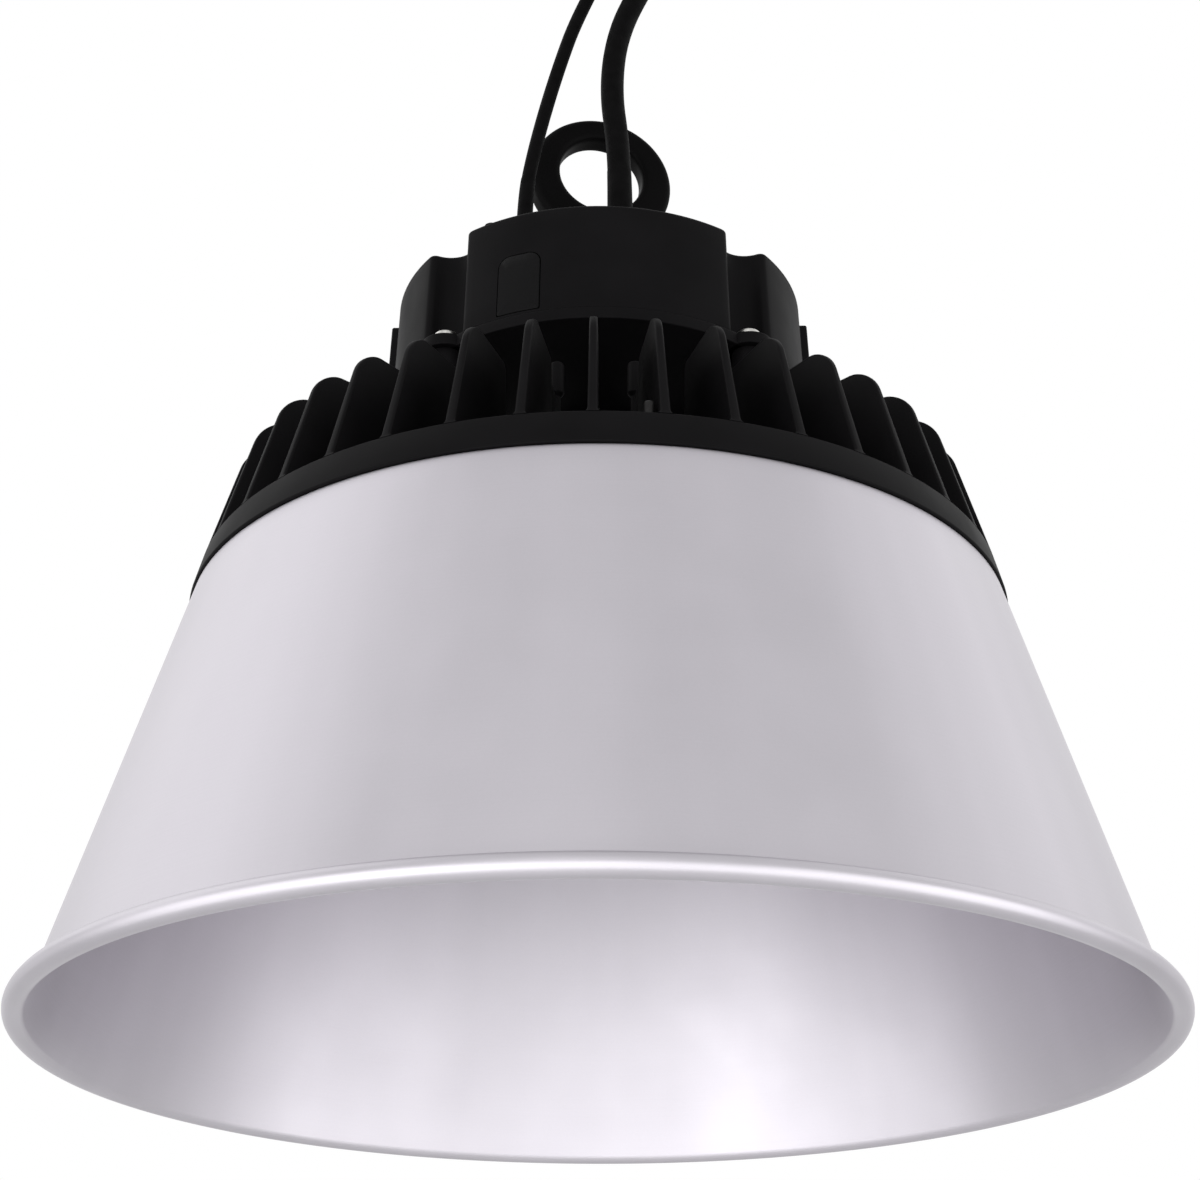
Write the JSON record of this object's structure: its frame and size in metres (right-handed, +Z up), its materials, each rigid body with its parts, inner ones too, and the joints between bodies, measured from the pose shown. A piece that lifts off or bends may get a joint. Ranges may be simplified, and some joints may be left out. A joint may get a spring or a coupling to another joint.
{
  "type": "high bay light",
  "caption": "Hanging high bay light: spun aluminium reflector below a black finned heat sink and a round driver case, with a hanging eye, a supply lead and a dimming lead.",
  "frame": {"origin": "centre of the reflector's open rim, at the level of its lowest edge", "axes": "+Z up along the light's own axis towards the hanging eye; -Y is the side with the leads, which faces the viewer; +X is to the viewer's right. The light hangs in this frame with no tilt, and can stand on its rim in it too."},
  "size_m": [0.41, 0.41, 0.4914],
  "materials": {
    "spun_aluminium": "satin, spun",
    "black_casting": "satin black powder coat",
    "black_steel": "satin black coat",
    "bright_steel": "zinc plated",
    "opal_cover": "opal",
    "white_board": "white solder mask on aluminium",
    "phosphor": "yellow phosphor",
    "grey_pad": "matt",
    "seal_rubber": "matt",
    "black_plastic": "matt black nylon",
    "cable_jacket": "satin black",
    "wire_insulation": "coloured insulation",
    "circuit_green": "green solder mask",
    "ferrite": "dark ferrite and varnished winding",
    "yellow_tape": "winding tape",
    "capacitor_sleeve": "shrunk sleeve",
    "plain_aluminium": "milled",
    "terminal_green": "moulded"
  },
  "bodies": {
    "root": {"reflector": "spun_aluminium", "reflector_screws": "bright_steel", "heat_sink": "black_casting", "thermal_pad": "grey_pad", "led_board": "white_board", "led_chips": "phosphor", "board_screws": "bright_steel", "lens_gasket": "seal_rubber", "lens_plate": "opal_cover", "lens_ring": "black_casting", "lens_ring_screws": "bright_steel", "driver_base": "black_casting", "driver_gasket": "seal_rubber", "driver_housing": "black_casting", "driver_screws": "bright_steel", "driver_washers": "bright_steel", "port_cover": "black_plastic", "breather_vent": "black_plastic", "wiring_stem": "black_steel", "stem_seals": "seal_rubber", "supply_wires": "wire_insulation", "hanging_eye": "black_steel", "eye_washer": "black_steel", "eye_nut": "black_steel", "inner_nut": "bright_steel", "gland_plate": "black_casting", "plate_screws": "black_steel", "power_gland": "black_plastic", "power_gland_nut": "black_plastic", "power_gland_seal": "seal_rubber", "power_cable": "cable_jacket", "power_connector": "black_plastic", "dimming_gland": "black_plastic", "dimming_gland_nut": "black_plastic", "dimming_gland_seal": "seal_rubber", "dimming_cable": "cable_jacket", "dimming_connector": "black_plastic", "circuit_board": "circuit_green", "circuit_screws": "bright_steel", "transformer": "yellow_tape", "choke": "ferrite", "capacitors": "capacitor_sleeve", "heat_spreader": "plain_aluminium", "transistors": "ferrite", "terminal_block": "terminal_green", "filter_capacitor": "yellow_tape"}
  },
  "joints": []
}
